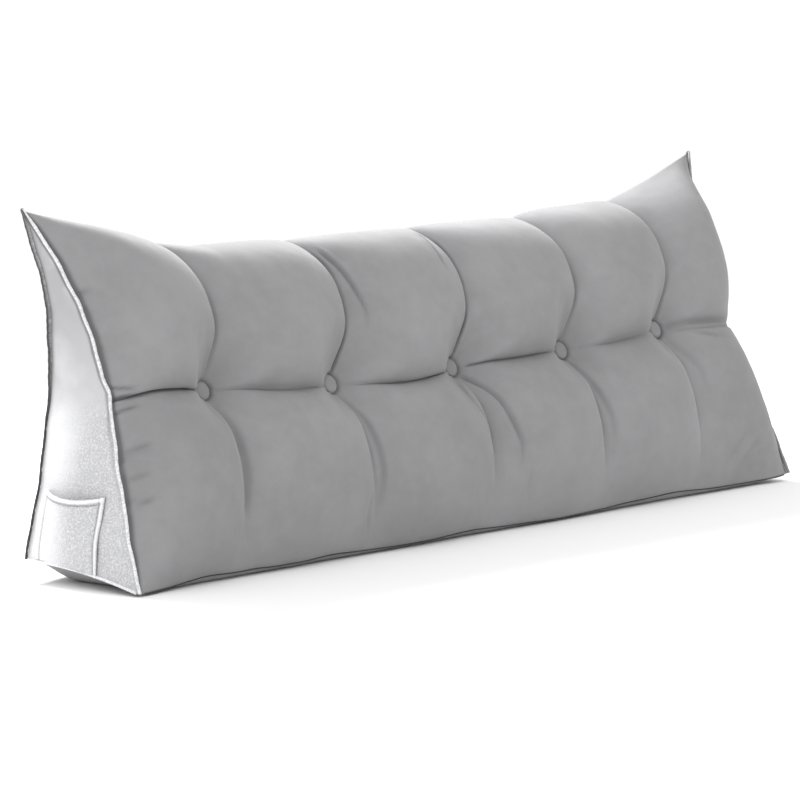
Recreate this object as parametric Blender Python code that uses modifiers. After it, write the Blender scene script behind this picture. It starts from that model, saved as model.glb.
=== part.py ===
# Long wedge-shaped backrest pillow with a button-tufted front, standing on its flat base.
# Metres, +Z up. +X runs along the pillow and -Y is the tufted front.
# The origin lies on the base plane, in the middle of the whole pillow's box.
import math

import bmesh
import bpy
from mathutils import Vector

OBJECT_NAME = "backrest_pillow"

# The wedge: a right triangle in section, 1.50 m long, 0.50 m high at the ears, 0.20 m deep.
LENGTH = 1.50
HALF = LENGTH / 2
EAR_HEIGHT = 0.500
EAR_TIP_Y = 0.104
EAR_START = {"left": 0.62, "right": 0.50}   # share of the half length where the top climbs
EAR_POWER = 1.2
FRONT_SEAM = (-0.093, 0.007)        # y, z of the bottom front seam
FRONT_CORNER = (-0.100, 0.0035)     # where that seam ends, at the end panels
BACK_SEAM = (0.107, 0.010)          # y, z of the bottom back seam
BACK_SEAM_LIFT = 0.020              # how much higher the back seam ends at the end panels
TOP_SEAM = (0.097, 0.426)           # y, z of the top seam between the ears

# The flat patch that the pillow stands on, and the turn up to the seams round it.
BASE_FLAT_Y = (-0.078, 0.060)
BASE_FLAT_X = 0.600
END_SEAM_ARCH = 0.006               # how far the end's bottom seam arches up in its middle

# Ends, drawn in between the ears and the base corners.
END_DRAW_IN = {"left": 0.054, "right": 0.052}
END_FOOT_IN = {"left": 0.0, "right": 0.012}     # a base corner that sits further in
END_DRAW_POWER = 1.45               # puts the deepest place above the middle of the height
END_DRAW_SPREAD = 5.0               # keeps the draw-in close to the ends
END_CROWN = 0.006
NEAR_END = 1.0 / 8.0                # share of the half length over which a seam turns to its end

# Tufting: one row of five buttons, so six columns of puffs in two rows.
# Up the front a row counts from 0 at the bottom seam over 1 at the buttons to 2 at the top.
# A level is a height over the straight line from the bottom front seam to the top seam.
BUTTONS = (
    {"x": -0.541, "height": 0.237},
    {"x": -0.268, "height": 0.223},
    {"x": 0.001, "height": 0.223},
    {"x": 0.263, "height": 0.226},
    {"x": 0.508, "height": 0.238},
)
ROW_END_HEIGHT = {"left": 0.247, "right": 0.234}    # of the button row at the end panels
BUTTON_LEVEL = 0.029
ROW_LEVEL = 0.052                   # in the row crease, half-way between two buttons
# in_crease is the share of the rise that is left in the creases between two columns.
# The lean is how far those creases bow along the pillow.
PUFFS = {
    "lower": {"rise": 0.052, "in_crease": 0.55, "power": 2.4, "round": 0.70, "lean": 0.014},
    "upper": {"rise": 0.064, "in_crease": 0.62, "power": 3.0, "round": 0.60, "lean": 0.034},
}
# One line for each column of puffs, from the left end to the right, with shares of the rise.
COLUMNS = (
    {"top_lift": 0.000, "lower": 1.00, "upper": 1.00},
    {"top_lift": 0.005, "lower": 1.00, "upper": 1.00},
    {"top_lift": 0.002, "lower": 1.05, "upper": 1.00},
    {"top_lift": 0.003, "lower": 1.00, "upper": 1.00},
    {"top_lift": 0.011, "lower": 0.95, "upper": 0.97},
    {"top_lift": 0.004, "lower": 0.55, "upper": 0.84},
)
# Each button pulls the cloth into a cone, which rounds off into the puffs.
DIMPLE = {"slope": 0.75, "flat_radius": 0.010, "blend": 0.018}
CREASE_POWER = 2.6
CREASE_ROUND = 0.72
END_SEAM_POWER = 2.1                # the puffs rise more gently from the end seams
LEAN_FADE = 4                       # the creases' bow dies out towards the ends
BACK_CROWN = {"rise": 0.0206, "power": 2.4, "round": 0.8, "along_power": 6.0}

# Where the surface has its points, as shares of one column, one row or the base's depth.
COLUMN_STEPS = (0.0, 0.05, 0.13, 0.26, 0.42, 0.58, 0.74, 0.87, 0.95)
ROW_STEPS = (0.0, 0.07, 0.17, 0.31, 0.5, 0.69, 0.83, 0.93)
CROSS_STEPS = 5

# Sewn pieces.
SHEET = 0.0025
GAP = 0.0003
POCKET_GAP = 0.0009                 # keeps the pocket's edges clear of the faceted end
PIPING_RADIUS = 0.0025
PIPING_STAND_OFF = 0.0031           # from the seam to the middle of the piping
PIPING_TURN_STEPS = 6
POCKET = {
    "front_y": -0.024,
    "back_y": 0.088,
    "bottom_z": (0.018, 0.034),     # at the front and at the back edge
    "mouth_z": 0.1245,
    "mouth_dip": 0.007,
    "sheet": 0.002,
    "steps": (10, 6),               # across and up
    "stand_off": 0.012,             # how far the mouth stands open in its middle
}
BUTTON_SHAPE = {"radius": 0.0125, "rim": 0.0035, "dome": 0.0078, "sides": 24}
SEAT_CLEARANCE = 0.0004
SEAT_HEIGHT = 0.06                  # of the cutter, well out of the front

COLOURS = {
    "front": (0.30, 0.30, 0.31),
    "end": (0.46, 0.46, 0.47),
}


def mix(a, b, share):
    return a + (b - a) * share


def smooth(value):
    value = min(max(value, 0.0), 1.0)
    return value * value * (3.0 - 2.0 * value)


def hump(share, power, roundness):
    """0 at both ends of a puff and 1 over its middle."""
    return max(0.0, 1.0 - abs(2.0 * share - 1.0) ** power) ** roundness


def place_along(station, height):
    """The x of a station from -1 to 1, drawn in near the ends."""
    side = "left" if station < 0 else "right"
    share = min(max(height / EAR_HEIGHT, 0.0), 1.0) ** END_DRAW_POWER
    pull = END_DRAW_IN[side] * math.sin(math.pi * share)
    pull += END_FOOT_IN[side] * (1.0 - min(max(height / EAR_HEIGHT, 0.0), 1.0)) ** 2
    return station * HALF - math.copysign(pull * abs(station) ** END_DRAW_SPREAD, station)


def column_lines():
    """The stations of the two ends and of the buttons between them."""
    return [-1.0] + [button["x"] / HALF for button in BUTTONS] + [1.0]


def column_at(station):
    """The column of puffs, counted from 0, and the share of the way across it."""
    lines = column_lines()
    column = max(i for i in range(6) if station >= lines[i] - 1e-9)
    return column, (station - lines[column]) / (lines[column + 1] - lines[column])


def top_point(station):
    start = EAR_START["left" if station < 0 else "right"]
    climb = max(0.0, (abs(station) - start) / (1.0 - start)) ** EAR_POWER
    column, share = column_at(station)
    lift = COLUMNS[column]["top_lift"] * hump(share, CREASE_POWER, CREASE_ROUND)
    return mix(TOP_SEAM[0], EAR_TIP_Y, climb), mix(TOP_SEAM[1], EAR_HEIGHT, climb) + lift


def near_end(station):
    """0 along the pillow, rising to 1 at the end panels."""
    return smooth((abs(station) - 1.0 + NEAR_END) / NEAR_END)


def front_seam(station):
    share = near_end(station)
    return mix(FRONT_SEAM[0], FRONT_CORNER[0], share), mix(FRONT_SEAM[1], FRONT_CORNER[1], share)


def back_seam(station):
    return BACK_SEAM[0], BACK_SEAM[1] + BACK_SEAM_LIFT * near_end(station)


def row_height(station):
    """Height of the button row on the front's chord, which wanders from button to button."""
    heights = [button["height"] for button in BUTTONS]
    heights = [ROW_END_HEIGHT["left"]] + heights + [ROW_END_HEIGHT["right"]]
    column, share = column_at(station)
    return mix(heights[column], heights[column + 1], smooth(share))


def chord_share(station, row):
    """How far up the front's chord a row lies."""
    foot_z, top_z = front_seam(station)[1], top_point(station)[1]
    buttons = (row_height(station) - foot_z) / (top_z - foot_z)
    return row * buttons if row <= 1.0 else mix(buttons, 1.0, row - 1.0)


def soft_min(a, b, blend):
    """The lower of two heights, rounded off where they cross."""
    near = max(blend - abs(a - b), 0.0) / blend
    return min(a, b) - near * near * blend / 4.0


def front_frame(station):
    """The foot of the front's chord, the chord itself and the direction out of the front."""
    foot = Vector((0.0, *front_seam(station)))
    chord = Vector((0.0, *top_point(station))) - foot
    return foot, chord, Vector((0.0, -chord.z, chord.y)).normalized()


def dimple_level(station, row):
    """The cone round the nearest button, as a height over the chord."""
    _, chord, _ = front_frame(station)
    up = (chord_share(station, row) - chord_share(station, 1.0)) * chord.length
    along = min(abs(station * HALF - button["x"]) for button in BUTTONS)
    reach = max(0.0, math.hypot(up, along) - DIMPLE["flat_radius"])
    return BUTTON_LEVEL + DIMPLE["slope"] * reach


def front_level(station, row):
    """Height of the tufted front over its chord."""
    column, share = column_at(station)
    by_end_seam = (column == 0 and share < 0.5) or (column == 5 and share > 0.5)
    across = hump(share, CREASE_POWER, CREASE_ROUND)
    if by_end_seam:
        across = hump(share, END_SEAM_POWER, 1.0)
    low = 0.0 if by_end_seam else 1.0
    side = "lower" if row <= 1.0 else "upper"
    puff = PUFFS[side]
    from_seam = min(row, 2.0 - row)
    row_line = mix(BUTTON_LEVEL * low, ROW_LEVEL, across) * from_seam
    rise = puff["rise"] * hump(from_seam, puff["power"], puff["round"])
    rise *= mix(1.0, COLUMNS[column][side], across)
    level = row_line + rise * mix(puff["in_crease"] * low, 1.0, across)
    return soft_min(level, dimple_level(station, row), DIMPLE["blend"])


def front_point(station, row):
    foot, chord, outward = front_frame(station)
    point = foot + chord * chord_share(station, row) + outward * front_level(station, row)
    point.x = place_along(station, point.z)
    lean = PUFFS["lower" if row <= 1.0 else "upper"]["lean"]
    point.x += lean * abs(math.sin(math.pi * row)) * (1.0 - abs(station) ** LEAN_FADE)
    return point


def back_point(station, row):
    top_y, top_z = top_point(station)
    foot_y, foot_z = back_seam(station)
    share = chord_share(station, row)
    crown = BACK_CROWN["rise"] * hump(share, BACK_CROWN["power"], BACK_CROWN["round"])
    crown *= hump((1.0 + station) / 2, BACK_CROWN["along_power"], 1.0)
    z = mix(foot_z, top_z, share)
    return Vector((place_along(station, z), mix(foot_y, top_y, share) + crown, z))


def base_point(station, step):
    """Across the base: step 0 is the front seam and CROSS_STEPS the back seam."""
    fore_y, fore_z = front_seam(station)
    rear_y, rear_z = back_seam(station)
    y = mix(*BASE_FLAT_Y, (step - 1) / (CROSS_STEPS - 2))
    across = (y - fore_y) / (rear_y - fore_y)
    turn_up = smooth((abs(station) * HALF - BASE_FLAT_X) / (HALF - BASE_FLAT_X))
    z = mix(fore_z, rear_z, across) * turn_up
    if abs(station) == 1.0:
        z += END_SEAM_ARCH * hump(across, 2.0, 1.0)
    return Vector((place_along(station, z), y, z))


def rows_up():
    return list(ROW_STEPS) + [1.0 + step for step in ROW_STEPS] + [2.0]


def stations():
    lines = column_lines()
    inner = [mix(lines[i], lines[i + 1], step) for i in range(6) for step in COLUMN_STEPS]
    return inner + [1.0]


def end_width(front, back):
    """Depth of the end at one height, as a share of its depth at the base."""
    return (back.y - front.y) / (BACK_SEAM[0] - FRONT_CORNER[0])


def end_crown(front, back, y, share):
    """How far the end stands out at one place between its front and back edges."""
    across = min(max((y - front.y) / (back.y - front.y), 0.0), 1.0)
    return END_CROWN * end_width(front, back) * hump(across, 2.0, 1.0) * smooth(share * 8.0)


def end_rows(station, lift):
    """Rows of points over one end, front to back, from the base up; lift is along X."""
    side = math.copysign(1.0, station)
    rows = []
    for row_up in rows_up()[:-1]:
        front, back = front_point(station, row_up), back_point(station, row_up)
        share = chord_share(station, row_up)
        points = []
        for step in range(CROSS_STEPS + 1):
            point = front.lerp(back, step / CROSS_STEPS)
            if row_up == 0.0 and 0 < step < CROSS_STEPS:
                point = base_point(station, step)
            point.x += side * (end_crown(front, back, point.y, share) + lift)
            points.append(point)
        rows.append(points)
    tip = front_point(station, 2.0)
    tip.x += side * lift
    rows.append([tip])
    return rows


def fabric(name, colour, roughness=0.9):
    material = bpy.data.materials.new(name)
    material.use_nodes = True
    shader = material.node_tree.nodes["Principled BSDF"]
    shader.inputs["Base Color"].default_value = (*colour, 1.0)
    shader.inputs["Roughness"].default_value = roughness
    shader.inputs["Metallic"].default_value = 0.0
    return material


def add_object(name, mesh, collection, colour):
    thing = bpy.data.objects.new(name, mesh)
    thing.data.materials.append(fabric(name + "_fabric", colour))
    collection.objects.link(thing)
    return thing


def mesh_from(bm, name, sharp_degrees=50.0):
    bmesh.ops.recalc_face_normals(bm, faces=bm.faces)
    mesh = bpy.data.meshes.new(name)
    bm.to_mesh(mesh)
    bm.free()
    mesh.shade_smooth()
    mesh.set_sharp_from_angle(angle=math.radians(sharp_degrees))
    return mesh


def fill_rows(bm, rows):
    """Faces between neighbouring rows of vertices; a row of one vertex closes to a point."""
    for low, high in zip(rows, rows[1:]):
        for i in range(len(low) - 1):
            if len(high) == 1:
                bm.faces.new((low[i], low[i + 1], high[0]))
            else:
                bm.faces.new((low[i], low[i + 1], high[i + 1], high[i]))


def make_cushion(collection):
    """The filled body: front, back and base swept along the pillow, closed at both ends."""
    bm = bmesh.new()
    levels = rows_up()
    end_lift = -(SHEET + GAP)
    rings = []
    for station in stations():
        ring = [front_point(station, row) for row in levels]
        ring += [back_point(station, row) for row in reversed(levels[:-1])]
        ring += [base_point(station, step) for step in range(CROSS_STEPS - 1, 0, -1)]
        if abs(station) == 1.0:
            for point in ring:
                point.x += station * end_lift
        rings.append([bm.verts.new(point) for point in ring])
    count = len(rings[0])
    for ring, after in zip(rings, rings[1:]):
        for i in range(count):
            j = (i + 1) % count
            bm.faces.new((ring[i], ring[j], after[j], after[i]))
    top = len(levels) - 1
    for ring, station in ((rings[0], -1.0), (rings[-1], 1.0)):
        rows = []
        for i, points in enumerate(end_rows(station, end_lift)[:-1]):
            if i == 0:
                base = [ring[count - step] for step in range(1, CROSS_STEPS)]
                rows.append([ring[0]] + base + [ring[2 * top]])
                continue
            inner = [bm.verts.new(point) for point in points[1:-1]]
            rows.append([ring[i]] + inner + [ring[2 * top - i]])
        rows.append([ring[top]])
        fill_rows(bm, rows)
    return add_object("cushion", mesh_from(bm, "cushion"), collection, COLOURS["front"])


def make_end_panel(name, station, collection):
    """The cloth gusset over one end, a sheet that follows the filled body."""
    bm = bmesh.new()
    layers = []
    for lift in (-SHEET, 0.0):
        rows = [[bm.verts.new(point) for point in row] for row in end_rows(station, lift)]
        fill_rows(bm, rows)
        layers.append(rows)
    inner, outer = layers
    rim = []
    for rows in (inner, outer):
        up_front = [row[0] for row in rows[:-1]]
        down_back = [row[-1] for row in reversed(rows[:-1])]
        base = list(reversed(rows[0][1:-1]))
        rim.append(up_front + rows[-1] + down_back + base)
    for i in range(len(rim[0])):
        j = (i + 1) % len(rim[0])
        bm.faces.new((rim[0][i], rim[0][j], rim[1][j], rim[1][i]))
    return add_object(name, mesh_from(bm, name), collection, COLOURS["end"])


def make_piping(name, station, collection):
    """The piping up the front edge of an end panel, round the ear tip and down the back."""
    side = math.copysign(1.0, station)
    _, _, outward = front_frame(station)
    rows = end_rows(station, -SHEET / 2)
    front = [row[0] + outward * PIPING_STAND_OFF for row in rows[:-1]]
    back = [row[-1] + Vector((0.0, PIPING_STAND_OFF, 0.0)) for row in reversed(rows[:-1])]
    start = math.atan2(outward.z, outward.y)
    turn = []
    for step in range(PIPING_TURN_STEPS + 1):
        angle = mix(start, 0.0, step / PIPING_TURN_STEPS)
        arm = Vector((0.0, math.cos(angle), math.sin(angle))) * PIPING_STAND_OFF
        turn.append(rows[-1][0] + arm)
    points = front + turn + back
    curve = bpy.data.curves.new(name, "CURVE")
    curve.dimensions = "3D"
    curve.bevel_depth = PIPING_RADIUS
    curve.bevel_resolution = 2
    curve.use_fill_caps = True
    spline = curve.splines.new("POLY")
    spline.points.add(len(points) - 1)
    for target, point in zip(spline.points, points):
        target.co = (point.x + side * SHEET / 4, point.y, point.z, 1.0)
    return add_object(name, curve, collection, COLOURS["end"])


def pocket_point(across, up, layer):
    """A point of the patch pocket on the left end. layer 0 is its inner face, 1 its outer."""
    front_z, back_z = POCKET["bottom_z"]
    y = mix(POCKET["front_y"], POCKET["back_y"], across)
    low = mix(front_z, back_z, across)
    high = POCKET["mouth_z"] - POCKET["mouth_dip"] * hump(across, 2.0, 1.0)
    z = mix(low, high, up)
    foot, chord, _ = front_frame(-1.0)
    share = (z - foot.z) / chord.z
    front, back = foot + chord * share, Vector((0.0, BACK_SEAM[0], z))
    stand_off = POCKET["stand_off"] * hump(across, 2.0, 0.8) * up ** 0.7
    out = end_crown(front, back, y, share) + POCKET_GAP + stand_off + POCKET["sheet"] * layer
    return Vector((place_along(-1.0, z) - out, y, z))


def make_pocket(name, collection):
    """A patch pocket whose mouth stands a little open."""
    columns, levels = POCKET["steps"]
    bm = bmesh.new()
    layers = []
    for layer in (0, 1):
        rows = [[bm.verts.new(pocket_point(i / columns, j / levels, layer))
                 for i in range(columns + 1)] for j in range(levels + 1)]
        fill_rows(bm, rows)
        layers.append(rows)
    rims = []
    for rows in layers:
        sides = [row[-1] for row in rows[1:-1]], [row[0] for row in reversed(rows[1:-1])]
        rims.append(rows[0] + sides[0] + list(reversed(rows[-1])) + sides[1])
    for i in range(len(rims[0])):
        j = (i + 1) % len(rims[0])
        bm.faces.new((rims[0][i], rims[0][j], rims[1][j], rims[1][i]))
    return add_object(name, mesh_from(bm, name), collection, COLOURS["end"])


def button_place(x):
    """Where a button's back lies, and the direction out of the front there."""
    station = x / HALF
    _, _, outward = front_frame(station)
    return front_point(station, 1.0), outward.to_track_quat("Z", "Y")


def make_button_seat(name, x, cushion, collection):
    """A round cutter that makes room for one button in its tuft."""
    seat, turn = button_place(x)
    bm = bmesh.new()
    radius = BUTTON_SHAPE["radius"] + SEAT_CLEARANCE + GAP
    bmesh.ops.create_cone(bm, cap_ends=True, segments=BUTTON_SHAPE["sides"], radius1=radius,
                          radius2=radius, depth=SEAT_HEIGHT)
    cutter = bpy.data.objects.new(name, mesh_from(bm, name))
    cutter.location = seat + turn @ Vector((0.0, 0.0, SEAT_HEIGHT / 2))
    cutter.rotation_mode = "QUATERNION"
    cutter.rotation_quaternion = turn
    cutter.hide_render = True
    cutter.display_type = "WIRE"
    collection.objects.link(cutter)
    cut = cushion.modifiers.new(name, "BOOLEAN")
    cut.operation = "DIFFERENCE"
    cut.solver = "EXACT"
    cut.object = cutter
    return cutter


def make_button(name, x, collection):
    """A domed cloth-covered button, turned from its profile."""
    seat, turn = button_place(x)
    radius, rim, dome = BUTTON_SHAPE["radius"], BUTTON_SHAPE["rim"], BUTTON_SHAPE["dome"]
    profile = [(0.0, dome), (0.35 * radius, 0.97 * dome), (0.68 * radius, 0.83 * dome),
               (0.9 * radius, mix(rim, dome, 0.35)), (radius, rim), (0.96 * radius, 0.2 * rim),
               (0.82 * radius, 0.0), (0.0, 0.0)]
    bm = bmesh.new()
    points = [bm.verts.new((r, 0.0, z)) for r, z in profile]
    for a, b in zip(points, points[1:]):
        bm.edges.new((a, b))
    mesh = bpy.data.meshes.new(name)
    bm.to_mesh(mesh)
    bm.free()
    button = add_object(name, mesh, collection, COLOURS["front"])
    screw = button.modifiers.new("turned", "SCREW")
    screw.steps = BUTTON_SHAPE["sides"]
    screw.render_steps = BUTTON_SHAPE["sides"]
    screw.use_merge_vertices = True
    screw.merge_threshold = 0.00005
    screw.use_smooth_shade = True
    button.location = seat + turn @ Vector((0.0, 0.0, GAP))
    button.rotation_mode = "QUATERNION"
    button.rotation_quaternion = turn
    return button


def centre_over_origin(things, followers):
    """Moves everything along X and Y so that the box of the things is centred on the origin."""
    bpy.context.view_layer.update()
    graph = bpy.context.evaluated_depsgraph_get()
    points = []
    for thing in things:
        mesh = bpy.data.meshes.new_from_object(thing.evaluated_get(graph))
        points += [thing.matrix_world @ vertex.co for vertex in mesh.vertices]
        bpy.data.meshes.remove(mesh)
    for axis in (0, 1):
        values = [point[axis] for point in points]
        middle = (min(values) + max(values)) / 2
        for thing in things + followers:
            thing.location[axis] -= middle


def main():
    for thing in list(bpy.data.objects):
        bpy.data.objects.remove(thing, do_unlink=True)
    parts = bpy.data.collections.new(OBJECT_NAME)
    cutters = bpy.data.collections.new("cutters")
    bpy.context.scene.collection.children.link(parts)
    bpy.context.scene.collection.children.link(cutters)
    cushion = make_cushion(parts)
    for side, station in (("left", -1.0), ("right", 1.0)):
        make_end_panel("end_panel_" + side, station, parts)
        make_piping("piping_" + side, station, parts)
    make_pocket("pocket_left", parts)
    for number, button in enumerate(BUTTONS, start=1):
        make_button_seat(f"button_seat_{number}", button["x"], cushion, cutters)
        make_button(f"button_{number}", button["x"], parts)
    centre_over_origin(list(parts.objects), list(cutters.objects))


main()
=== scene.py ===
import math
import random

import bmesh
import bpy
import numpy as np
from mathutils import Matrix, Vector, noise


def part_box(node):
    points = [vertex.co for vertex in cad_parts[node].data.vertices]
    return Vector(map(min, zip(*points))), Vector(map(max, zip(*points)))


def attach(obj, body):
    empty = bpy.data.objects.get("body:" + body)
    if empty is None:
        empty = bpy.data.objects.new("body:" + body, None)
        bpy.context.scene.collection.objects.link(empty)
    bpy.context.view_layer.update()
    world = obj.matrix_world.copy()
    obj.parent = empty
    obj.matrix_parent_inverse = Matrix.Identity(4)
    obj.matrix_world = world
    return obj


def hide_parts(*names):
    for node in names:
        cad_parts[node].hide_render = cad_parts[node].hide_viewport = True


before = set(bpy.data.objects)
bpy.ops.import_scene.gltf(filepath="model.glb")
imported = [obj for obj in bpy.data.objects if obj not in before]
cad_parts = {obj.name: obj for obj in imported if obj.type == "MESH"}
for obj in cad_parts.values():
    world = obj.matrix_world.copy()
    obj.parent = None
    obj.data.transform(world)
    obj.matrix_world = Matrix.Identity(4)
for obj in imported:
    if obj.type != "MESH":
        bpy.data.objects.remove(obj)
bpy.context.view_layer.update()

# Looks for a long wedge-shaped backrest pillow: tufted cover, ends, piping, pocket and buttons.
leftLow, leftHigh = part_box("end_panel_left")
rightLow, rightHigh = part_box("end_panel_right")
halfLength = (rightHigh.x - leftLow.x) / 2      # to the outer faces of the two ends
middleX = (rightHigh.x + leftLow.x) / 2
mm = 0.001
print("frame loaded, half length", round(halfLength, 4))

# The wedge as the solids have it. Pairs are for the left and the right end.
wedge = {
    "earHeight": 0.500,
    "earTipY": 0.104,
    "earStart": (0.62, 0.50),
    "earPower": (1.2, 1.9),
    "frontSeam": (-0.093, 0.007),
    "frontCorner": (-0.100, 0.0035),
    "backSeam": (0.107, 0.010),
    "backSeamLift": 0.020,
    "topSeam": (0.097, 0.426),
    "baseFlatY": (-0.078, 0.060),
    "baseFlatX": 0.690,
    "endSeamArch": 0.006,
    "drawIn": (0.054, 0.052),
    "footIn": (0.0, 0.012),
    "drawPower": 1.45,
    "drawSpread": 5.0,
    "endCrown": 0.006,
    "nearEnd": 1.0 / 8.0,
    "sheet": 0.0025,
    "gap": 0.0003,
}
middleY = leftLow.y - wedge["frontCorner"][0]

# Tufting: x and height of each button, and the puffs between them.
tufts = {
    "buttonX": (-0.541, -0.268, 0.001, 0.263, 0.508),
    "buttonHeight": (0.237, 0.223, 0.223, 0.226, 0.238),
    "rowEndHeight": (0.247, 0.234),
    "rowSag": (0.005, 0.012, 0.018, 0.007, 0.008, 0.0),
    "topSlide": 0.027,
    "buttonLevel": 0.029,
    "rowLevel": 0.052,
    "topLift": (0.000, 0.005, 0.002, 0.003, 0.011, 0.004),
    "lowerShare": (1.00, 1.00, 1.05, 1.00, 0.95, 0.55),
    "upperShare": (1.00, 1.00, 1.00, 1.00, 0.97, 0.84),
    "lower": {"rise": 0.052, "inCrease": 0.55, "power": 2.4, "round": 0.70, "lean": 0.014},
    "upper": {"rise": 0.064, "inCrease": 0.62, "power": 3.0, "round": 0.60, "lean": 0.034},
    "coneSlope": 0.75,
    "coneFlat": 0.0135,
    "coneBlend": 0.018,
    "creasePower": 2.6,
    "creaseRound": 0.72,
    "footRound": 1.3,
    "rowSoft": (0.15, 0.0, 0.0, 0.0, 0.25, 0.45, 1.0),
    "endSeamPower": 2.1,
    "leanFade": 4,
    "back": {"rise": 0.0206, "power": 2.4, "round": 0.8, "along": 6.0},
}
columnLines = np.array([-1.0] + [x / halfLength for x in tufts["buttonX"]] + [1.0])

# Small unevenness of the sewn edges, so that no seam is ruled straight.
# Knots are where an end seam is pulled in: height, how far and its reach, for the left and the right end.
edgeWander = {
    "frontKnots": (((0.257, 0.007, 0.013), (0.372, 0.003, 0.016), (0.150, -0.002, 0.020)),
                   ((0.272, 0.006, 0.022), (0.180, 0.005, 0.035))),
    "backKnots": (((0.130, 0.007, 0.110),), ((0.130, 0.004, 0.110),)),
    "front": ((0.0010, 61.0, 0.4), (0.0006, 131.0, 1.9)),
    "back": ((0.0012, 47.0, 2.1), (0.0006, 109.0, 0.2)),
    "hold": 26,
}
# Height of the front bottom seam along the pillow, x and height in mm.
footHeights = ((-750, 3.5), (-700, 4.5), (-670, 6), (-638, 9), (-608, 11.5), (-575, 10), (-540, 9), (-508, 10),
               (-475, 8), (-407, 7.5), (-375, 9.5), (-340, 10.5), (-300, 8.5), (-240, 7), (-200, 6), (-130, 6),
               (-95, 7.5), (-57, 9.5), (-20, 9.5), (15, 7.5), (90, 6), (168, 4), (205, 5), (245, 6), (283, 7),
               (323, 9.5), (363, 10), (403, 11), (445, 12.5), (485, 11.5), (528, 9), (570, 8), (660, 7.5),
               (700, 8), (735, 10), (750, 13))


def mixed(a, b, share):
    return a + (b - a) * share


def smooth(value):
    value = np.clip(value, 0.0, 1.0)
    return value * value * (3.0 - 2.0 * value)


def hump(share, power, roundness):
    return np.maximum(0.0, 1.0 - np.abs(2.0 * share - 1.0) ** power) ** roundness


def byEnd(station, pair):
    return np.where(station < 0, pair[0], pair[1])


def waves(where, table):
    return sum(size * np.sin(rate * where + phase) for size, rate, phase in table)


def seamWander(station, height, edge):
    knots = [sum(size * np.exp(-((height - at) / reach) ** 2) for at, size, reach in table)
             for table in edgeWander[edge + "Knots"]]
    return byEnd(station, knots) + waves(height, edgeWander[edge]) * smooth(height / 0.04)


def footHeight(station):
    at, height = zip(*footHeights)
    x = station * halfLength / mm
    return sum(np.interp(x + step, at, height) for step in (-14, -5, 5, 14)) / 4 * mm


def drawnIn(station, height):
    share = np.clip(height / wedge["earHeight"], 0.0, 1.0)
    pull = byEnd(station, wedge["drawIn"]) * np.sin(math.pi * share ** wedge["drawPower"])
    pull = pull + byEnd(station, wedge["footIn"]) * (1.0 - share) ** 2
    return station * halfLength - np.sign(station) * pull * np.abs(station) ** wedge["drawSpread"]


def columnOf(station):
    column = np.clip(np.searchsorted(columnLines, station + 1e-9, side="right") - 1, 0, 5)
    width = columnLines[column + 1] - columnLines[column]
    return column, (station - columnLines[column]) / width


def nearEnd(station):
    return smooth((np.abs(station) - 1.0 + wedge["nearEnd"]) / wedge["nearEnd"])


def topLine(station):
    start = byEnd(station, wedge["earStart"])
    climb = np.maximum(0.0, (np.abs(station) - start) / (1.0 - start)) ** byEnd(station, wedge["earPower"])
    column, share = columnOf(station)
    lift = np.take(tufts["topLift"], column) * hump(share, tufts["creasePower"], tufts["creaseRound"])
    y = mixed(wedge["topSeam"][0], wedge["earTipY"], climb)
    return y, mixed(wedge["topSeam"][1], wedge["earHeight"], climb) + lift


def frontLine(station):
    return mixed(wedge["frontSeam"][0], wedge["frontCorner"][0], nearEnd(station)), footHeight(station)


def backLine(station):
    return wedge["backSeam"][0] + 0.0 * station, wedge["backSeam"][1] + wedge["backSeamLift"] * nearEnd(station)


def rowHeight(station):
    heights = np.array([tufts["rowEndHeight"][0], *tufts["buttonHeight"], tufts["rowEndHeight"][1]])
    column, share = columnOf(station)
    sag = np.take(tufts["rowSag"], column) * hump(share, 2.0, 1.0)
    return mixed(heights[column], heights[column + 1], smooth(share)) - sag


def topSlide(station, row):
    return tufts["topSlide"] * smooth((row - 1.15) / 0.6) * (1.0 - np.abs(station) ** tufts["leanFade"])


def chordShare(station, row):
    foot, top = frontLine(station)[1], topLine(station)[1]
    buttons = (rowHeight(station) - foot) / (top - foot)
    return np.where(row <= 1.0, row * buttons, mixed(buttons, 1.0, row - 1.0))


def softMin(a, b, blend):
    near = np.maximum(blend - np.abs(a - b), 0.0) / blend
    return np.minimum(a, b) - near * near * blend / 4.0


def levelOver(station, row, chord):
    column, share = columnOf(station)
    byEndSeam = ((column == 0) & (share < 0.5)) | ((column == 5) & (share > 0.5))
    roundness = mixed(tufts["footRound"], tufts["creaseRound"], smooth(row / 0.6))
    across = np.where(byEndSeam, hump(share, tufts["endSeamPower"], 1.0),
                      hump(share, tufts["creasePower"], roundness))
    rowSoft = mixed(np.take(tufts["rowSoft"], column), np.take(tufts["rowSoft"], column + 1), share)
    low = np.where(byEndSeam, 0.0, 1.0)
    fromSeam = np.minimum(row, 2.0 - row)
    level = mixed(tufts["buttonLevel"] * low, tufts["rowLevel"], across) * fromSeam
    for side, here in (("lower", row <= 1.0), ("upper", row > 1.0)):
        puff = tufts[side]
        rise = puff["rise"] * hump(fromSeam, puff["power"], mixed(puff["round"], 1.15, rowSoft))
        rise = rise * mixed(1.0, np.take(tufts[side + "Share"], column), across)
        level = level + np.where(here, rise * mixed(puff["inCrease"] * low, 1.0, across), 0.0)
    up = (chordShare(station, row) - chordShare(station, 1.0 + 0.0 * row)) * chord
    along = np.min([np.abs(station * halfLength - x) for x in tufts["buttonX"]], axis=0)
    cone = tufts["buttonLevel"] + tufts["coneSlope"] * np.maximum(0.0, np.hypot(up, along) - tufts["coneFlat"])
    return softMin(level, cone, tufts["coneBlend"])


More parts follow.
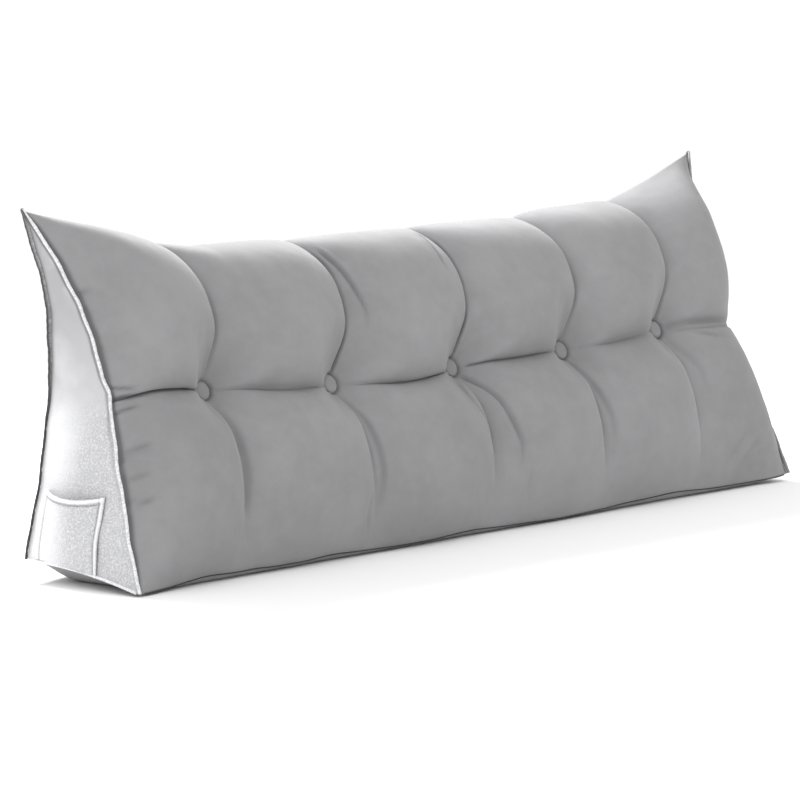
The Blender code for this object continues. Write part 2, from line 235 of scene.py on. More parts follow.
def frontPoint(station, row):
    station, row = np.broadcast_arrays(np.asarray(station, float), np.asarray(row, float))
    footY, footZ = frontLine(station)
    topY, topZ = topLine(station)
    chord = np.hypot(topY - footY, topZ - footZ)
    share, level = chordShare(station, row), levelOver(station, row, chord)
    y = mixed(footY, topY, share) - level * (topZ - footZ) / chord
    z = mixed(footZ, topZ, share) + level * (topY - footY) / chord
    lean = np.where(row <= 1.0, tufts["lower"]["lean"], tufts["upper"]["lean"])
    x = drawnIn(station, z) + lean * np.abs(np.sin(math.pi * row)) * (1.0 - np.abs(station) ** tufts["leanFade"])
    x = x + topSlide(station, row)
    x = x - np.sign(station) * seamWander(station, z, "front") * np.abs(station) ** edgeWander["hold"]
    return np.stack([x + middleX, y + middleY, z], -1)


def backPoint(station, row):
    station, row = np.broadcast_arrays(np.asarray(station, float), np.asarray(row, float))
    topY, topZ = topLine(station)
    footY, footZ = backLine(station)
    share, back = chordShare(station, row), tufts["back"]
    crown = back["rise"] * hump(share, back["power"], back["round"]) * hump((1.0 + station) / 2, back["along"], 1.0)
    z = mixed(footZ, topZ, share)
    x = drawnIn(station, z) + topSlide(station, row)
    x = x - np.sign(station) * seamWander(station, z, "back") * np.abs(station) ** edgeWander["hold"]
    return np.stack([x + middleX, mixed(footY, topY, share) + crown + middleY, z], -1)


def basePoint(station, across):
    station, across = np.broadcast_arrays(np.asarray(station, float), np.asarray(across, float))
    foreY, foreZ = frontLine(station)
    rearY, rearZ = backLine(station)
    y = mixed(foreY, rearY, across)
    low, high = wedge["baseFlatY"]
    curl = foreZ * np.clip((low - y) / (low - foreY), 0, 1) ** 1.5
    curl = curl + rearZ * np.clip((y - high) / (rearY - high), 0, 1) ** 1.5
    turnUp = smooth((np.abs(station) * halfLength - wedge["baseFlatX"]) / (halfLength - wedge["baseFlatX"]))
    z = mixed(curl, mixed(foreZ, rearZ, across), turnUp)
    z = z + wedge["endSeamArch"] * hump(across, 2.0, 1.0) * smooth((np.abs(station) - 0.97) / 0.03)
    return np.stack([drawnIn(station, z) + middleX, y + middleY, z], -1)


def crowded(count, crowding):
    share = np.arange(count) / count
    return share - crowding * np.sin(2.0 * math.pi * share) / (2.0 * math.pi)


# Creases, tucks and puckers of the front, each along its own path.
# path: x in mm and row (0 bottom seam, 1 buttons, 2 top). width, depth and the lips on both sides in mm.
# ends: share of the path over which it fades in and out. dark: how much painted shade darkens the cloth inside the
# fold.
frontFolds = (
    {"name": "leftTuck", "path": ((-749, 1.005), (-718, 1.0), (-680, 1.0), (-618, 1.0), (-572, 1.0)),
     "width": 2.2, "depth": 8.0, "lips": (0.6, 1.0), "ends": (0.01, 0.06), "dark": 1.0},
    {"name": "leftTuckUpper", "path": ((-748, 1.065), (-735, 1.045), (-712, 1.02)),
     "width": 2.4, "depth": 2.5, "lips": (1.5, 0.4), "ends": (0.02, 0.5), "dark": 0.55},
    {"name": "leftPuckerA", "path": ((-749, 0.93), (-735, 0.94), (-712, 0.945)),
     "width": 2.6, "depth": 3.2, "lips": (0.4, 1.8), "ends": (0.02, 0.5), "dark": 0.5},
    {"name": "leftRidgeB", "path": ((-748, 0.64), (-735, 0.665), (-715, 0.69), (-705, 0.70)),
     "width": 4.6, "depth": -5.0, "lips": (-1.0, -1.0), "ends": (0.02, 0.4), "dark": 0.0},
    {"name": "leftGrooveB", "path": ((-748, 0.715), (-735, 0.72), (-712, 0.725)),
     "width": 3.2, "depth": 3.2, "lips": (0.2, 0.2), "ends": (0.02, 0.5), "dark": 0.5},
    {"name": "leftGrooveC", "path": ((-749, 0.59), (-735, 0.585), (-718, 0.58)),
     "width": 3.0, "depth": 3.0, "lips": (0.2, 0.8), "ends": (0.02, 0.6), "dark": 0.4},
    {"name": "leftGrooveD", "path": ((-749, 0.475), (-735, 0.455), (-715, 0.43)),
     "width": 3.0, "depth": 2.8, "lips": (0.2, 0.4), "ends": (0.02, 0.5), "dark": 0.4},
    {"name": "leftRidgeD", "path": ((-748, 0.42), (-735, 0.41), (-722, 0.405)),
     "width": 4.6, "depth": -3.0, "lips": (-0.5, -0.5), "ends": (0.02, 0.5), "dark": 0.0},
    {"name": "leftRidgeE", "path": ((-748, 1.31), (-735, 1.28), (-722, 1.26)),
     "width": 3.0, "depth": -2.4, "lips": (-0.4, -0.4), "ends": (0.02, 0.5), "dark": 0.0},
    {"name": "leftRidgeF", "path": ((-748, 1.50), (-738, 1.48), (-722, 1.46)),
     "width": 5.0, "depth": -3.4, "lips": (-0.8, -0.8), "ends": (0.02, 0.5), "dark": 0.0},
    {"name": "leftGrooveF", "path": ((-748, 1.56), (-738, 1.545), (-722, 1.53)),
     "width": 3.0, "depth": 2.4, "lips": (0.2, 0.2), "ends": (0.02, 0.5), "dark": 0.35},
    {"name": "row12", "path": ((-240, 1.0), (-180, 1.0), (-120, 1.0), (-70, 1.0), (-25, 1.0)),
     "width": 2.4, "depth": 2.4, "lips": (0.2, 0.4), "ends": (0.45, 0.06), "dark": 0.6},
    {"name": "row23", "path": ((22, 1.0), (73, 1.0), (140, 1.0), (190, 1.0), (240, 1.0)),
     "width": 2.2, "depth": 2.8, "lips": (0.2, 0.4), "ends": (0.05, 0.40), "dark": 0.7},
    {"name": "rightTuck", "path": ((518, 1.0), (560, 1.0), (640, 1.0), (748, 1.0)),
     "width": 7.0, "depth": 2.0, "lips": (0.3, 0.5), "ends": (0.10, 0.02), "dark": 0.3},
    {"name": "rightWrinkleA", "path": ((545, 0.955), (580, 0.925), (615, 0.90), (665, 0.90)),
     "width": 3.0, "depth": 2.2, "lips": (0.8, 1.0), "ends": (0.4, 0.5), "dark": 0.3},
    {"name": "rightWrinkleB", "path": ((530, 0.975), (590, 0.955), (670, 0.97), (725, 0.985)),
     "width": 2.6, "depth": 2.2, "lips": (0.8, 0.8), "ends": (0.2, 0.3), "dark": 0.3},
    {"name": "upper0", "path": ((-541, 1.05), (-541, 1.32), (-540, 1.57), (-538, 1.76)),
     "width": 4.0, "depth": 2.0, "lips": (0.4, 0.4), "ends": (0.06, 0.50), "dark": 0.2},
    {"name": "upper1", "path": ((-268, 1.04), (-268, 1.20), (-268, 1.39), (-268, 1.58), (-268, 1.73), (-268, 1.88)),
     "width": 2.8, "depth": 6.0, "lips": (0.4, 0.6), "ends": (0.05, 0.12), "dark": 0.9},
    {"name": "upper1Second", "path": ((-236, 1.22), (-242, 1.40), (-250, 1.57), (-254, 1.72), (-256, 1.88)),
     "width": 3.0, "depth": 4.0, "lips": (1.8, 0.6), "ends": (0.60, 0.12), "dark": 0.6},
    {"name": "upper2", "path": ((1, 1.04), (1, 1.20), (1, 1.39), (1, 1.58), (1, 1.73), (1, 1.88)),
     "width": 2.8, "depth": 7.0, "lips": (0.8, 0.8), "ends": (0.05, 0.12), "dark": 1.0},
    {"name": "upper2Second", "path": ((-46, 1.55), (-49, 1.65), (-33, 1.80), (-14, 1.93)),
     "width": 2.8, "depth": 4.5, "lips": (1.0, 1.5), "ends": (0.50, 0.12), "dark": 0.65},
    {"name": "upper3", "path": ((263, 1.05), (263, 1.24), (263, 1.51), (264, 1.67)),
     "width": 4.0, "depth": 2.0, "lips": (0.4, 0.4), "ends": (0.06, 0.50), "dark": 0.2},
    {"name": "upper4", "path": ((508, 1.04), (508, 1.20), (509, 1.40)),
     "width": 3.6, "depth": 3.0, "lips": (0.4, 0.4), "ends": (0.05, 0.60), "dark": 0.4},
    {"name": "lower0", "path": ((-541, 0.95), (-537, 0.68), (-538, 0.41), (-560, 0.10)),
     "width": 6.0, "depth": 2.5, "lips": (0.6, 0.6), "ends": (0.10, 0.5), "dark": 0.2},
    {"name": "lower1", "path": ((-268, 0.95), (-262, 0.70), (-257, 0.40), (-268, 0.12)),
     "width": 4.5, "depth": 3.0, "lips": (0.6, 0.8), "ends": (0.08, 0.4), "dark": 0.25},
    {"name": "lower2", "path": ((4, 0.96), (24, 0.82), (32, 0.62), (44, 0.42), (40, 0.25)),
     "width": 3.6, "depth": 4.5, "lips": (1.0, 1.0), "ends": (0.10, 0.4), "dark": 0.5},
    {"name": "lower2Second", "path": ((-10, 0.94), (-30, 0.75), (-12, 0.55), (10, 0.36)),
     "width": 4.2, "depth": 3.0, "lips": (1.0, 1.0), "ends": (0.20, 0.4), "dark": 0.25},
    {"name": "lower3", "path": ((264, 0.95), (268, 0.72), (278, 0.47), (275, 0.26)),
     "width": 4.5, "depth": 2.5, "lips": (0.6, 0.6), "ends": (0.08, 0.5), "dark": 0.25},
    {"name": "lower4", "path": ((510, 0.95), (538, 0.66), (535, 0.44)),
     "width": 6.0, "depth": 2.0, "lips": (0.4, 0.4), "ends": (0.15, 0.5), "dark": 0.15},
    {"name": "footStreakA", "path": ((560, 0.08), (600, 0.20), (645, 0.32)),
     "width": 6.0, "depth": 1.6, "lips": (0.6, 0.6), "ends": (0.4, 0.4), "dark": 0.1},
    {"name": "footStreakB", "path": ((600, 0.06), (645, 0.18), (690, 0.30)),
     "width": 6.0, "depth": 1.6, "lips": (0.6, 0.6), "ends": (0.4, 0.4), "dark": 0.1},
    {"name": "footStreakC", "path": ((66, 0.34), (60, 0.20), (70, 0.06)),
     "width": 5.0, "depth": 1.8, "lips": (0.6, 0.6), "ends": (0.4, 0.4), "dark": 0.12},
    {"name": "footStreakD", "path": ((-285, 0.30), (-292, 0.18), (-280, 0.05)),
     "width": 5.0, "depth": 1.8, "lips": (0.6, 0.6), "ends": (0.4, 0.4), "dark": 0.12},
)

# moat: a dent round each button; its dark is painted shade in the dent.
buttonPleats = {"count": 9, "size": 1.4, "start": 14.5, "reach": 28.0,
                "moat": {"at": 15.0, "width": 2.6, "depth": 2.5, "dark": 0.9}}
coverGrid = {"column": 66, "halfFront": 56, "base": 16, "crowding": 0.5}
# seamGroove: a groove along each end seam; its dark is painted shade in the groove.
seamGroove = {"at": 3.6, "width": 2.6, "depth": 2.2, "dark": 0.9}
lumps = ((9.0, 1.6), (22.0, 0.7), (55.0, 0.25))     # pitch per metre and size in mm


def throughPoints(points, steps):
    points = np.asarray(points, float)
    padded = np.vstack([2 * points[0] - points[1], points, 2 * points[-1] - points[-2]])
    found = []
    for i in range(1, len(padded) - 2):
        a, b, c, d = padded[i - 1:i + 3]
        for t in np.linspace(0.0, 1.0, steps, endpoint=False):
            found.append(0.5 * (2 * b + (c - a) * t + (2 * a - 5 * b + 4 * c - d) * t ** 2
                                + (3 * b - a - 3 * c + d) * t ** 3))
    found.append(padded[-2])
    return np.array(found)


def gridNormals(grid):
    across = np.gradient(grid, axis=0)
    up = np.gradient(grid, axis=1)
    normal = np.cross(across, up)
    length = np.linalg.norm(normal, axis=-1, keepdims=True)
    return normal / np.maximum(length, 1e-12)


def nearestOnPath(places, normals, path):
    best = np.full(len(places), 1e9)
    share, side = np.zeros(len(places)), np.zeros(len(places))
    steps = np.linalg.norm(np.diff(path, axis=0), axis=1)
    before = np.concatenate([[0.0], np.cumsum(steps)])
    for i, step in enumerate(steps):
        run = path[i + 1] - path[i]
        t = np.clip(((places - path[i]) @ run) / max(step * step, 1e-12), 0.0, 1.0)
        away = places - (path[i] + t[:, None] * run)
        distance = np.linalg.norm(away, axis=1)
        closer = distance < best
        best = np.where(closer, distance, best)
        share = np.where(closer, (before[i] + t * step) / before[-1], share)
        turn = np.einsum("ij,ij->i", np.cross(run[None, :], normals), away)
        side = np.where(closer, np.sign(turn), side)
    return best, share, side


def foldRelief(places, normals, path, fold):
    distance, share, side = nearestOnPath(places, normals, path)
    width = fold["width"] * mm
    fade = smooth(share / max(fold["ends"][0], 1e-6)) * smooth((1.0 - share) / max(fold["ends"][1], 1e-6))
    trough = np.exp(-(distance / width) ** 2)
    lip = np.exp(-((distance - 2.0 * width) / (1.1 * width)) ** 2)
    lipSize = np.where(side > 0, fold["lips"][0], fold["lips"][1])
    return (lip * lipSize - trough * fold["depth"]) * mm * fade, trough * fade * fold["dark"]


def frontRelief(front, stations, rows):
    shape = front.shape[:2]
    normals = gridNormals(front)
    if normals[shape[0] // 2, shape[1] // 4, 1] > 0:
        normals = -normals
    places, flatNormals = front.reshape(-1, 3), normals.reshape(-1, 3)
    # dark gathers the painted shade in the folds, round the buttons and along the end seams.
    relief, dark = np.zeros(len(places)), np.zeros(len(places))
    for fold in frontFolds:
        line = throughPoints([(x / 750.0, row) for x, row in fold["path"]], 8)
        path = frontPoint(np.clip(line[:, 0], -1, 1), np.clip(line[:, 1], 0, 2))
        near = np.linalg.norm(places[:, None, :] - path[None, ::4, :], axis=2).min(axis=1) < 0.09
        height, shade = foldRelief(places[near], flatNormals[near], path, fold)
        relief[near] += height
        dark[near] = np.maximum(dark[near], shade)
    for x, height in zip(tufts["buttonX"], tufts["buttonHeight"]):
        seat = frontPoint(x / halfLength, 1.0)
        away = places - seat
        distance = np.linalg.norm(away, axis=1) / mm
        angle = np.arctan2(away[:, 2], away[:, 0])
        ripple = np.cos(buttonPleats["count"] * angle + 1.7 * np.sin(2.0 * angle + x * 9.0) + x * 31.0)
        ring = smooth((distance - buttonPleats["start"]) / 6.0)
        relief += buttonPleats["size"] * mm * ripple * ring * np.exp(-(distance / buttonPleats["reach"]) ** 2)
        moat = buttonPleats["moat"]
        ringed = np.exp(-((distance - moat["at"]) / moat["width"]) ** 2)
        relief -= moat["depth"] * mm * ringed
        dark = np.maximum(dark, moat["dark"] * ringed)
    uneven = np.zeros(len(places))
    for pitch, size in lumps:
        uneven += size * mm * np.array([noise.noise(Vector(p) * pitch) for p in places])
    relief += uneven
    relief = relief.reshape(shape)
    dark = dark.reshape(shape)
    fromEnd = (1.0 - np.abs(stations))[:, None] * halfLength / mm
    groove = np.exp(-((fromEnd - seamGroove["at"]) / seamGroove["width"]) ** 2)
    relief = relief - groove * seamGroove["depth"] * mm
    dark = np.maximum(dark, groove * seamGroove["dark"])
    hold = smooth(fromEnd / 5.0) * smooth(rows / 0.03)[None, :] * smooth((2.0 - rows) / 0.03)[None, :]
    return front + normals * (relief * hold)[:, :, None], dark


def meshFrom(name, places, faces, smoothShade=True):
    mesh = bpy.data.meshes.new(name)
    mesh.from_pydata([tuple(p) for p in places], [], faces)
    bm = bmesh.new()
    bm.from_mesh(mesh)
    bmesh.ops.recalc_face_normals(bm, faces=bm.faces)
    bm.to_mesh(mesh)
    bm.free()
    if smoothShade:
        mesh.shade_smooth()
    piece = bpy.data.objects.new(name, mesh)
    bpy.context.scene.collection.objects.link(piece)
    return piece


def makeCover():
    half = crowded(coverGrid["halfFront"], coverGrid["crowding"])
    rows = np.concatenate([half, 1.0 + half, [2.0]])
    column = crowded(coverGrid["column"], coverGrid["crowding"])
    stations = np.concatenate([mixed(a, b, column) for a, b in zip(columnLines, columnLines[1:])] + [[1.0]])
    front = frontPoint(stations[:, None], rows[None, :])
    front, dark = frontRelief(front, stations, rows)
    backRows = rows[::2][:-1][::-1]
    back = backPoint(stations[:, None], backRows[None, :])
    baseShares = crowded(coverGrid["base"], 0.3)[1:][::-1]
    base = basePoint(stations[:, None], baseShares[None, :])
    rings = np.concatenate([front, back, base], axis=1)
    lift = wedge["sheet"] + wedge["gap"]
    rings[0, :, 0] += lift
    rings[-1, :, 0] -= lift
    count = rings.shape[1]
    places = list(rings.reshape(-1, 3))
    paintedCreaseShade = np.zeros(rings.shape[:2])
    paintedCreaseShade[:, :len(rows)] = dark
    paintedCreaseShade = list(paintedCreaseShade.reshape(-1))
    faces = []
    for i in range(len(stations) - 1):
        for j in range(count):
            k = (j + 1) % count
            faces.append((i * count + j, i * count + k, (i + 1) * count + k, (i + 1) * count + j))
    coarse = len(backRows)
    for ring in (0, len(stations) - 1):
        start = ring * count
        side = -1.0 if ring == 0 else 1.0
        lines = [[start] + [start + count - 1 - j for j in range(len(baseShares))] + [start + len(rows) + coarse - 1]]
        for k in range(1, coarse):
            low = start + 2 * k
            high = start + len(rows) + coarse - 1 - k
            inner = []
            for j in range(1, len(baseShares) + 1):
                inner.append(len(places))
                share = j / (len(baseShares) + 1)
                point = mixed(places[low], places[high], share)
                crown = wedge["endCrown"] * (places[high][1] - places[low][1]) / 0.207 * hump(share, 2.0, 1.0)
                point = point + np.array([side * crown * min(1.0, k / 6.0), 0.0, 0.0])
                places.append(point)
                paintedCreaseShade.append(0.0)
            lines.append([low] + inner + [high])
        top = start + len(rows) - 1
        for k, (low, high) in enumerate(zip(lines, lines[1:] + [[top]])):
            between = start + 2 * k + 1
            for j in range(len(low) - 1):
                if len(high) == 1:
                    corner = [low[j], low[j + 1], top]
                else:
                    corner = [low[j], low[j + 1], high[j + 1], high[j]]
                if j == 0:
                    corner.append(between)
                faces.append(tuple(corner))
    cover = meshFrom("cover", places, faces)
    # The creaseShade attribute carries the painted shade in creases, grooves and round the buttons.
    shade = cover.data.attributes.new("creaseShade", "FLOAT", "POINT")
    shade.data.foreach_set("value", np.array(paintedCreaseShade, np.float32))
    print("cover", len(places), "points")
    return cover


def endEdge(side, rows):
    front = frontPoint(np.full(len(rows), side), rows)
    back = backPoint(np.full(len(rows), side), rows)
    return front, back


def endSurface(side, rows, shares):
    front, back = endEdge(side, rows)
    grid = mixed(front[:, None, :], back[:, None, :], shares[None, :, None])
    grid[0, :, :] = basePoint(np.full(len(shares), side), shares)
    grid[0, 0, :], grid[0, -1, :] = front[0], back[0]
    depth = (back[:, 1] - front[:, 1]) / (wedge["backSeam"][0] - wedge["frontCorner"][0])
    up = chordShare(np.full(len(rows), side), rows)
    crown = wedge["endCrown"] * depth[:, None] * hump(shares, 2.0, 1.0)[None, :] * smooth(up * 8.0)[:, None]
    grid[:, :, 0] += side * crown
    return grid


endLook = {"rows": 48, "across": 26, "uneven": ((14.0, 1.5), (40.0, 0.6))}
# Soft dents and ridges of the ends: y, z of both ends of each in metres, width and height in mm.
endFolds = (
    {"from": (-0.030, 0.250), "to": (0.040, 0.215), "width": 9.0, "height": -1.8},
    {"from": (-0.035, 0.235), "to": (0.020, 0.185), "width": 8.0, "height": 1.6},
    {"from": (0.010, 0.330), "to": (0.060, 0.290), "width": 10.0, "height": 1.2},
    {"from": (-0.075, 0.100), "to": (-0.040, 0.130), "width": 7.0, "height": 1.5},
    {"from": (0.050, 0.150), "to": (0.095, 0.130), "width": 8.0, "height": -1.2},
)


def endRelief(grid, seed):
    y, z = grid[:, :, 1], grid[:, :, 2]
    relief = np.zeros(y.shape)
    for pitch, size in endLook["uneven"]:
        flat = [noise.noise(Vector((seed, a * pitch, b * pitch))) for a, b in zip(y.ravel(), z.ravel())]
        relief += size * mm * np.array(flat).reshape(y.shape)
    for fold in endFolds:
        start, stop = np.array(fold["from"]), np.array(fold["to"])
        run = stop - start
        t = np.clip(((y - start[0]) * run[0] + (z - start[1]) * run[1]) / (run @ run), 0, 1)
        distance = np.hypot(y - start[0] - t * run[0], z - start[1] - t * run[1])
        relief += fold["height"] * mm * np.exp(-(distance / (fold["width"] * mm)) ** 2)
    return relief


def closedSheet(name, outer, inner, shades):
    rows, across = outer.shape[:2]
    places, faces = [], []
    index = {}
    for layer, grid in enumerate((inner, outer)):
        for i in range(rows):
            for j in range(across):
                index[layer, i, j] = len(places)
                places.append(grid[i, j])
    for layer in (0, 1):
        for i in range(rows - 1):
            for j in range(across - 1):
                faces.append((index[layer, i, j], index[layer, i, j + 1],
                              index[layer, i + 1, j + 1], index[layer, i + 1, j]))
    rim = [(0, j) for j in range(across)] + [(i, across - 1) for i in range(1, rows)]
    rim += [(rows - 1, j) for j in range(across - 2, -1, -1)] + [(i, 0) for i in range(rows - 2, 0, -1)]
    for a, b in zip(rim, rim[1:] + rim[:1]):
        faces.append((index[0, a[0], a[1]], index[0, b[0], b[1]], index[1, b[0], b[1]], index[1, a[0], a[1]]))
    piece = meshFrom(name, places, faces)
    for shade, (inside, outside) in shades.items():
        layer = piece.data.attributes.new(shade, "FLOAT", "POINT")
        values = [np.broadcast_to(part, outer.shape[:2]).ravel() for part in (inside, outside)]
        layer.data.foreach_set("value", np.concatenate(values).astype(np.float32))
    bm = bmesh.new()
    bm.from_mesh(piece.data)
    bmesh.ops.remove_doubles(bm, verts=bm.verts, dist=0.00001)
    bmesh.ops.recalc_face_normals(bm, faces=bm.faces)
    bm.to_mesh(piece.data)
    bm.free()
    piece.data.shade_smooth()
    piece.data.set_sharp_from_angle(angle=math.radians(60.0))
    return piece


def surfaceArea(grid):
    a = np.cross(grid[1:, :-1] - grid[:-1, :-1], grid[:-1, 1:] - grid[:-1, :-1])
    b = np.cross(grid[1:, :-1] - grid[1:, 1:], grid[:-1, 1:] - grid[1:, 1:])
    return float((np.linalg.norm(a, axis=-1) + np.linalg.norm(b, axis=-1)).sum() / 2)


def makeEnd(name, side):
    rows = np.concatenate([crowded(endLook["rows"], 0.0) * 2.0, [2.0]])
    shares = np.linspace(0.0, 1.0, endLook["across"] + 1)
    grid = endSurface(side, rows, shares)
    hold = np.minimum(1.0, 12.0 * hump(shares, 2.0, 1.0))[None, :] * smooth(rows / 0.1)[:, None]
    outer = grid.copy()
    outer[:, :, 0] += side * endRelief(grid, side * 3.7) * hold * smooth((2.0 - rows) / 0.5)[:, None]
    inner = grid.copy()
    inner[:, :, 0] -= side * wedge["sheet"]
    # Painted shade along the front seam and the back edge of the end.
    fromFront = (grid[:, :, 1] - grid[:, :1, 1]) / mm
    fromBack = (grid[:, -1:, 1] - grid[:, :, 1]) / mm
    dark = 0.75 * np.exp(-((fromFront - 3.0) / 2.2) ** 2) + 0.8 * np.exp(-(fromBack / 4.5) ** 2)
    piece = closedSheet(name, outer, inner, {"seamShade": (dark, np.clip(dark, 0, 1)), "paintedHemHighlight": (0.0, 0.0)})
    return piece, surfaceArea(outer)


def tube(name, path, radii, sides=12, flatten=1.0):
    path = np.asarray(path, float)
    radii = np.broadcast_to(np.asarray(radii, float), (len(path),))
    run = np.gradient(path, axis=0)
    run /= np.linalg.norm(run, axis=1, keepdims=True)
    across = np.cross(run[0], (1.0, 0.0, 0.0))
    across /= np.linalg.norm(across)
    places, faces = [], []
    for i, (point, ahead, radius) in enumerate(zip(path, run, radii)):
        across = across - ahead * (across @ ahead)
        across /= np.linalg.norm(across)
        other = np.cross(ahead, across)
        for k in range(sides):
            angle = 2.0 * math.pi * k / sides
            places.append(point + radius * (math.cos(angle) * across + flatten * math.sin(angle) * other))
        if i:
            a, b = (i - 1) * sides, i * sides
            for k in range(sides):
                m = (k + 1) % sides
                faces.append((a + k, a + m, b + m, b + k))
    faces.append(tuple(range(sides)))
    faces.append(tuple(reversed(range((len(path) - 1) * sides, len(path) * sides))))
    return meshFrom(name, places, faces)


# Piping up the front of an end, round the ear tip and down the back, which is thinner lower down.
pipingLook = {"frontRadius": 0.0023, "backRadius": 0.0036, "lowBackRadius": 0.0018, "standOff": 0.0024,
              "thinFrom": 0.30, "thinTo": 0.20, "tipShare": 0.5, "tipFrom": 0.470, "turn": 8, "rows": 150}


def makePiping(name, side):
    rows = np.linspace(0.0, 2.0, pipingLook["rows"])
    front, back = endEdge(side, rows)
    topY, topZ = topLine(np.array([side]))
    footY, footZ = frontLine(np.array([side]))
    outward = np.array([0.0, -(topZ - footZ)[0], (topY - footY)[0]])
    outward /= np.linalg.norm(outward)
    stand = pipingLook["standOff"]
    up = front + outward * stand
    down = (back + np.array([0.0, stand, 0.0]))[::-1]
    start = math.atan2(outward[2], outward[1])
    turn = [front[-1] + stand * np.array([0.0, math.cos(a), math.sin(a)])
            for a in np.linspace(start, 0.0, pipingLook["turn"] + 2)[1:-1]]
    path = np.vstack([up, turn, down])
    thin = smooth((pipingLook["thinFrom"] - down[:, 2]) / (pipingLook["thinFrom"] - pipingLook["thinTo"]))
    radii = np.concatenate([np.full(len(up) + len(turn), pipingLook["frontRadius"]),
                            mixed(pipingLook["backRadius"], pipingLook["lowBackRadius"], thin)])
    radii = radii * (1.0 + 0.12 * np.sin(path[:, 2] * 410.0) * np.sin(path[:, 2] * 173.0 + 1.0))
    toTip = smooth((path[:, 2] - pipingLook["tipFrom"]) / (wedge["earHeight"] - pipingLook["tipFrom"]))
    radii = radii * mixed(1.0, pipingLook["tipShare"], toTip)
    path[:, 2] = np.maximum(path[:, 2], radii + 0.0006)
    return tube(name, path, radii)


# A thin near-black tube along the front bottom seam: a painted shadow line standing in for the shade gap under the
# seam.
def makePaintedShadowLine(name):
    stations = np.linspace(-0.985, 0.985, 320)
    y, z = frontLine(stations)
    x = drawnIn(stations, z) + middleX
    path = np.stack([x, y + middleY - 0.0004, np.maximum(z - 0.0004, 0.0016)], -1)
    return tube(name, path, 0.0009, sides=8)


def makeHem(name, side):
    shares = np.linspace(0.02, 0.98, 60)
    path = basePoint(np.full(len(shares), side), shares)
    path[:, 0] += side * 0.0008
    path[:, 2] = np.maximum(path[:, 2] + 0.0006, 0.0030)
    return tube(name, path, 0.0022, sides=10)


pocketLook = {
    "frontY": -0.024,
    "backY": 0.088,
    "bottomZ": (0.018, 0.034),
    "mouthZ": 0.1245,
    "mouthDip": 0.007,
    "sheet": 0.002,
    "gap": 0.0009,
    "standOff": 0.012,
    "across": 64,
    "up": 60,
    "hem": {"at": 2.8, "width": 2.6, "height": 1.9},
    "side": {"at": 2.2, "width": 1.8, "height": 1.3},
    "stitchLine": {"at": 8.0, "width": 1.3, "height": -0.8},
    "sideLine": {"at": 6.0, "width": 1.2, "height": -0.6},
}


def pocketSurface(across, up):
    across, up = np.broadcast_arrays(across, up)
    y = mixed(pocketLook["frontY"], pocketLook["backY"], across)
    low = mixed(pocketLook["bottomZ"][0], pocketLook["bottomZ"][1], across)
    z = mixed(low, pocketLook["mouthZ"] - pocketLook["mouthDip"] * hump(across, 2.0, 1.0), up)
    footY, footZ = frontLine(np.array(-1.0))
    topY, topZ = topLine(np.array(-1.0))
    share = (z - footZ) / (topZ - footZ)
    frontY = mixed(footY, topY, share)
    width = (wedge["backSeam"][0] - frontY) / (wedge["backSeam"][0] - wedge["frontCorner"][0])
    at = (y - frontY) / (wedge["backSeam"][0] - frontY)
    crown = wedge["endCrown"] * width * hump(at, 2.0, 1.0) * smooth(share * 8.0)
    out = crown + pocketLook["gap"] + pocketLook["standOff"] * hump(across, 2.0, 0.8) * up ** 0.7
    left = np.full(z.shape, -1.0)
    wander = mixed(seamWander(left, z, "front"), seamWander(left, z, "back"), at)
    return np.stack([drawnIn(left, z) + wander - out + middleX, y + middleY, z], -1)


def makePocket(name):
    across = np.concatenate([crowded(pocketLook["across"], 0.75), [1.0]])
    up = np.concatenate([crowded(pocketLook["up"], 0.6), [1.0]])
    inner = pocketSurface(across[None, :], up[:, None])
    outer = inner.copy()
    height = (1.0 - up)[:, None] * 100.0
    sideways = np.minimum(across, 1.0 - across)[None, :] * 112.0
    relief, light, dark = (np.zeros(inner.shape[:2]) for _ in range(3))
    # Raised hem and side ridges get a painted highlight (light); the sunk stitch lines get painted shade (dark).
    for ridge, distance in (("hem", height), ("side", sideways), ("stitchLine", height), ("sideLine", sideways)):
        shape = pocketLook[ridge]
        profile = np.exp(-((distance - shape["at"]) / shape["width"]) ** 2)
        relief = relief + shape["height"] * mm * profile
        if shape["height"] > 0:
            light = np.maximum(light, profile)
        else:
            dark = np.maximum(dark, 0.55 * profile)
    y, z = inner[:, :, 1], inner[:, :, 2]
    soft = [noise.noise(Vector((7.1, a * 30.0, b * 30.0))) for a, b in zip(y.ravel(), z.ravel())]
    relief = relief + 0.8 * mm * np.array(soft).reshape(y.shape) * np.minimum(1.0, sideways / 8.0)
    outer[:, :, 0] -= pocketLook["sheet"] + relief
    # Painted shadow: a dark line along the pocket's front rim.
    paintedRimShadow = np.exp(-(across * 112.0 / 1.5) ** 2)[None, :]
    shades = {"seamShade": (paintedRimShadow, dark), "paintedHemHighlight": (0.0, light)}
    return closedSheet(name, outer, inner, shades), surfaceArea(outer)


buttonLook = {"radius": 13.4, "rim": 3.0, "dome": 6.8, "sides": 56, "pleats": 18, "lift": 0.3}


